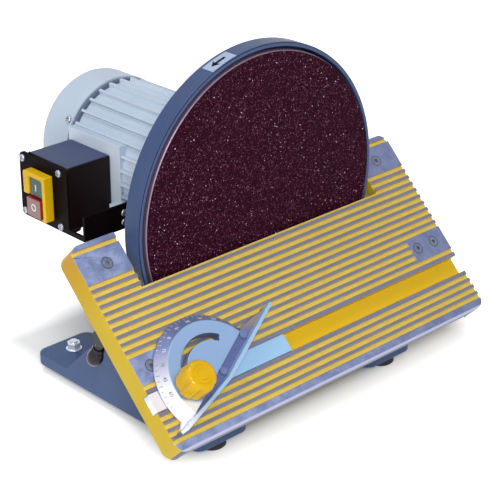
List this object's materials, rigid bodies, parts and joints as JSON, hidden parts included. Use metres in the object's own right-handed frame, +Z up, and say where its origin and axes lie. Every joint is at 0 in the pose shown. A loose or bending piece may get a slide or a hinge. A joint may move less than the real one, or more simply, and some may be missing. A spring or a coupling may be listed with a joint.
{
  "type": "benchtop disc sander",
  "caption": "Benchtop disc sander: induction motor behind a guarded abrasive disc, tilting slotted table with a mitre gauge.",
  "frame": {"origin": "on the floor under the middle of the overall box, table at 45 degrees as shown", "axes": "+X to the operator's right along the table, +Y back along the motor shaft, +Z up"},
  "size_m": [0.437, 0.3964, 0.368],
  "materials": {
    "frame_paint": "satin powder coat",
    "motor_paint": "gloss enamel",
    "table_metal": "yellow paint with ground top",
    "trunnion_metal": "yellow paint",
    "disc_metal": "turned",
    "steel": "zinc plated",
    "dark_steel": "blued",
    "copper_wire": "lacquered winding",
    "black_steel": "satin black paint",
    "black_plastic": "fine grain",
    "yellow_plastic": "smooth",
    "green_plastic": "smooth",
    "red_plastic": "smooth",
    "white_plastic": "smooth",
    "rubber": "matte",
    "abrasive": "coarse grit on cloth",
    "gauge_metal": "silver paint"
  },
  "bodies": {
    "stand": {"base_frame": "frame_paint", "rubber_feet": "rubber", "foot_bolts": "steel", "foot_nuts": "steel", "disc_guard": "frame_paint", "motor_bolts": "steel", "front_end_shield": "motor_paint", "motor_frame": "motor_paint", "rear_end_shield": "motor_paint", "stator_core": "dark_steel", "stator_windings": "copper_wire", "front_bearing": "steel", "rear_bearing": "steel", "fan_cowl": "motor_paint", "cowl_screws": "steel", "switch_box": "black_plastic", "switch_panel": "black_steel", "panel_screws": "steel", "bracket_screws": "steel", "switch_housing": "yellow_plastic", "switch_body": "black_plastic", "cable_gland": "black_plastic", "clamp_bolt_left": "steel", "clamp_bolt_right": "steel", "clamp_spacer_left": "steel", "clamp_spacer_right": "steel", "tilt_shoe_left": "steel", "tilt_shoe_right": "steel"},
    "rotor": {"rotor_shaft": "steel", "rotor_core": "dark_steel", "cooling_fan": "black_plastic", "disc_plate": "disc_metal", "shaft_key": "dark_steel", "hub_screws": "dark_steel", "abrasive_disc": "abrasive"},
    "table": {"table_casting": "table_metal", "trunnion_left": "trunnion_metal", "trunnion_right": "trunnion_metal", "trunnion_screws": "steel"},
    "lever_left": {"clamp_lever_left": "black_steel", "lever_bulb_left": "black_plastic"},
    "lever_right": {"clamp_lever_right": "black_steel", "lever_bulb_right": "black_plastic"},
    "gauge_bar": {"mitre_bar": "steel", "mitre_pointer": "white_plastic", "mitre_pivot": "steel"},
    "gauge_head": {"mitre_head": "gauge_metal", "mitre_fence": "gauge_metal", "fence_screws": "steel"},
    "gauge_knob": {"mitre_knob": "yellow_plastic", "knob_stud": "steel"},
    "start_key": {"start_button": "green_plastic"},
    "stop_key": {"stop_button": "red_plastic"}
  },
  "joints": [
    {"name": "disc_spin", "type": "hinge", "parent": "stand", "child": "rotor", "pos_m": [0, -0.07684, 0.208], "axis": [0, 1, 0], "continuous": true},
    {"name": "table_tilt", "type": "hinge", "parent": "stand", "child": "table", "pos_m": [0, -0.08084, 0.1715], "axis": [-1, 0, 0], "range_deg": [0, 45]},
    {"name": "lock_lever_left", "type": "hinge", "parent": "stand", "child": "lever_left", "pos_m": [-0.198, -0.06563, 0.12177], "axis": [-1, 0, 0], "range_deg": [-10, 70]},
    {"name": "lock_lever_right", "type": "hinge", "parent": "stand", "child": "lever_right", "pos_m": [0.198, -0.06563, 0.12177], "axis": [-1, 0, 0], "range_deg": [-10, 70]},
    {"name": "gauge_slide", "type": "slide", "parent": "table", "child": "gauge_bar", "axis": [1, 0, 0], "range_m": [-0.06, 0.3]},
    {"name": "gauge_swivel", "type": "hinge", "parent": "gauge_bar", "child": "gauge_head", "pos_m": [-0.14496, -0.15745, 0.09488], "axis": [0, -0.7071, 0.7071], "range_deg": [0, 120]},
    {"name": "gauge_knob_turn", "type": "hinge", "parent": "gauge_bar", "child": "gauge_knob", "pos_m": [-0.18096, -0.15745, 0.09488], "axis": [0, -0.7071, 0.7071], "range_deg": [0, 180]},
    {"name": "start_press", "type": "slide", "parent": "stand", "child": "start_key", "axis": [1, 0, 0], "range_m": [0, 0.003], "stiffness_N_per_m": 800, "springref_m": -0.001},
    {"name": "stop_press", "type": "slide", "parent": "stand", "child": "stop_key", "axis": [1, 0, 0], "range_m": [0, 0.003], "stiffness_N_per_m": 800, "springref_m": -0.001}
  ]
}
